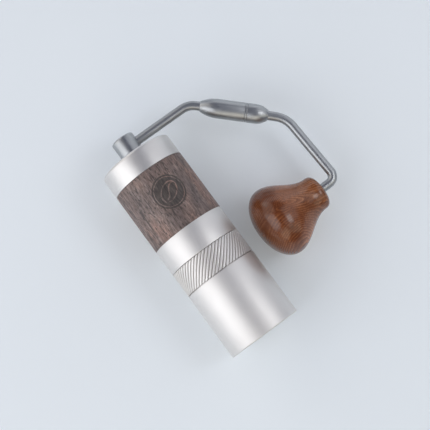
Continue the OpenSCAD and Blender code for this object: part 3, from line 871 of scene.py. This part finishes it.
def make_backdrop():
    """The pale surface that the grinder lies on: upright here, because the grinder stands.
    It shows from its front only, so that it doesn't hide the grinder's back."""
    size, lean_x, gap = 3000, -0.029, BODY_R + 0.5
    verts = [(x, gap + lean_x * x, z) for x, z in
             ((-size, -size), (size, -size), (size, size), (-size, size))]
    obj = mesh_object("backdrop", verts, [(0, 1, 2, 3)])
    s = Shader("backdrop", Roughness=0.9, Specular_IOR_Level=0.1)
    mottle = s.noise(s.place, 9, detail=2)
    colour = s.ramp(mottle, (0.3, BACKDROP_LOW), (0.7, BACKDROP_HIGH))
    s.bsdf.inputs["Emission Color"].default_value = (*BACKDROP_GLOW, 1)
    s.bsdf.inputs["Emission Strength"].default_value = BACKDROP_GLOW_STRENGTH
    s.set(Base_Color=colour)
    clear = s.node("BsdfTransparent").outputs["BSDF"]
    seen = s.node("NewGeometry").outputs["Backfacing"]
    both = s.node("MixShader", {0: seen, 1: s.bsdf.outputs["BSDF"], 2: clear})
    out = s.tree.nodes["Material Output"]
    s.tree.links.new(both.outputs[0], out.inputs["Surface"])
    obj.data.materials.append(s.material)


def softbox(name, turn, lift, width, height, radiance, colour=(1, 1, 1)):
    """A light panel facing the grinder, turn degrees round from its front (-Y) towards +X
    and lift degrees up. Its width and height are in metres."""
    a, e = math.radians(turn), math.radians(lift)
    way = Vector((math.sin(a) * math.cos(e), -math.cos(a) * math.cos(e), math.sin(e)))
    data = bpy.data.lights.new(name, "AREA")
    data.shape = "RECTANGLE"
    data.size, data.size_y = width, height
    data.energy = radiance * math.pi * width * height
    data.color = colour
    obj = bpy.data.objects.new(name, data)
    obj.location = LIGHT_AIM + way * LIGHT_DISTANCE
    obj.rotation_mode = "QUATERNION"
    obj.rotation_quaternion = (-way).to_track_quat("-Z", "Y")
    obj.visible_camera = False
    bpy.context.scene.collection.objects.link(obj)


def make_world(colour, strength):
    """Dim fill light of the given colour before the backdrop; pale behind it, which lights
    whatever a turned crank puts there, and pale to the camera everywhere."""
    world = bpy.data.worlds.new("studio")
    world.use_nodes = True
    nodes, link = world.node_tree.nodes, world.node_tree.links.new
    dim, pale = nodes["Background"], nodes.new("ShaderNodeBackground")
    dim.inputs["Color"].default_value = (*colour, 1)
    dim.inputs["Strength"].default_value = strength
    pale.inputs["Color"].default_value = (*BACKDROP_LOW, 1)
    split = nodes.new("ShaderNodeSeparateXYZ")
    link(nodes.new("ShaderNodeTexCoord").outputs["Generated"], split.inputs[0])
    behind, either = nodes.new("ShaderNodeMath"), nodes.new("ShaderNodeMath")
    behind.operation = "GREATER_THAN"
    behind.inputs[1].default_value = BEHIND_BACKDROP
    link(split.outputs["Y"], behind.inputs[0])
    either.operation = "MAXIMUM"
    link(nodes.new("ShaderNodeLightPath").outputs["Is Camera Ray"], either.inputs[0])
    link(behind.outputs[0], either.inputs[1])
    both = nodes.new("ShaderNodeMixShader")
    for socket, source in enumerate((either, dim, pale)):
        link(source.outputs[0], both.inputs[socket])
    link(both.outputs[0], nodes["World Output"].inputs["Surface"])
    bpy.context.scene.world = world


def make_camera():
    """Long lens at the base's height, a little left of it, aimed right and up, and rolled."""
    pan, tilt, roll = (math.radians(a) for a in (6.33, 6.34, -36.48))
    look = Vector((math.sin(pan) * math.cos(tilt), math.cos(pan) * math.cos(tilt),
                   math.sin(tilt)))
    right = look.cross(Vector((0, 0, 1))).normalized()
    up = right.cross(look)
    right, up = (math.cos(roll) * right + math.sin(roll) * up,
                 math.cos(roll) * up - math.sin(roll) * right)
    data = bpy.data.cameras.new("camera")
    data.lens = 95.18
    data.clip_start, data.clip_end = 0.01, 20
    obj = bpy.data.objects.new("camera", data)
    place = Vector((-55.3, -659.1, -0.3)) * MM
    turn = Matrix((right, up, -look)).transposed().to_4x4()
    obj.matrix_world = Matrix.Translation(place) @ turn
    bpy.context.scene.collection.objects.link(obj)
    bpy.context.scene.camera = obj


make_backdrop()
softbox("key_strip", -56, -9, 0.56, 1.1, 0.51)
softbox("left_wall", -60, 4, 1.5, 1.0, 1.67)
softbox("right_window", 34, -16, 0.45, 0.5, 2.85)
softbox("right_wall", 46, 0, 1.0, 1.0, 0.8)
softbox("right_side", 80, 16, 0.5, 0.7, 0.75)
softbox("right_high", 72, 42, 0.6, 0.6, 0.9)
softbox("top_left", -45, 48, 1.6, 0.9, 0.82, (1.08, 1, 0.88))
softbox("low_left", -45, -46, 1.2, 0.6, 1.3, (1.08, 1, 0.82))
softbox("low_right", 40, -46, 1.2, 0.6, 0.83, (1.04, 1, 0.82))
softbox("low_front", 12, -24, 0.7, 0.6, 0.5)
softbox("top_front", 0, 70, 1.4, 0.5, 0.82)
make_world((0.6, 0.8, 1.7), 0.066)
make_camera()
bpy.context.scene.view_settings.view_transform = "Standard"
